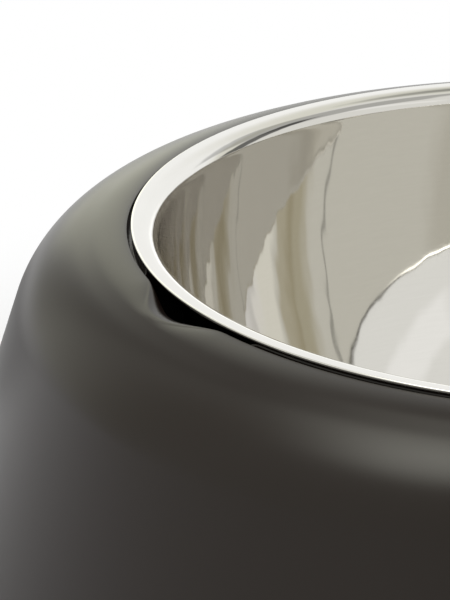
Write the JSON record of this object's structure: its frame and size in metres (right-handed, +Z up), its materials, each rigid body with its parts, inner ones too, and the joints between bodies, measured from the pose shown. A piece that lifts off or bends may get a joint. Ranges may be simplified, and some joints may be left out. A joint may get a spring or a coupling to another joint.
{
  "type": "dog bowl",
  "caption": "Round dog bowl: a flared satin moulded holder with a finger notch in its lip, standing on rubber feet, and a deep polished steel bowl that lifts out.",
  "frame": {"origin": "centre of the base on the floor, under the bowl's axis", "axes": "+Z up along the bowl's axis; the picture's camera looks along +Y, and the finger notch is in front of the axis on the -X side"},
  "size_m": [0.234, 0.234, 0.07],
  "materials": {
    "moulding": "satin, dark grey-brown, very fine grain",
    "steel": "mirror-polished stainless steel with slight drawing waves",
    "rubber": "matt black, moulded"
  },
  "bodies": {
    "holder": {"holder_shell": "moulding", "rubber_foot_1": "rubber", "rubber_foot_2": "rubber", "rubber_foot_3": "rubber", "rubber_foot_4": "rubber", "rubber_foot_5": "rubber", "rubber_foot_6": "rubber"},
    "bowl": {"steel_bowl": "steel"}
  },
  "joints": [
    {"name": "bowl_lift", "type": "slide", "parent": "holder", "child": "bowl", "axis": [0, 0, 1], "range_m": [0, 0.09]}
  ]
}
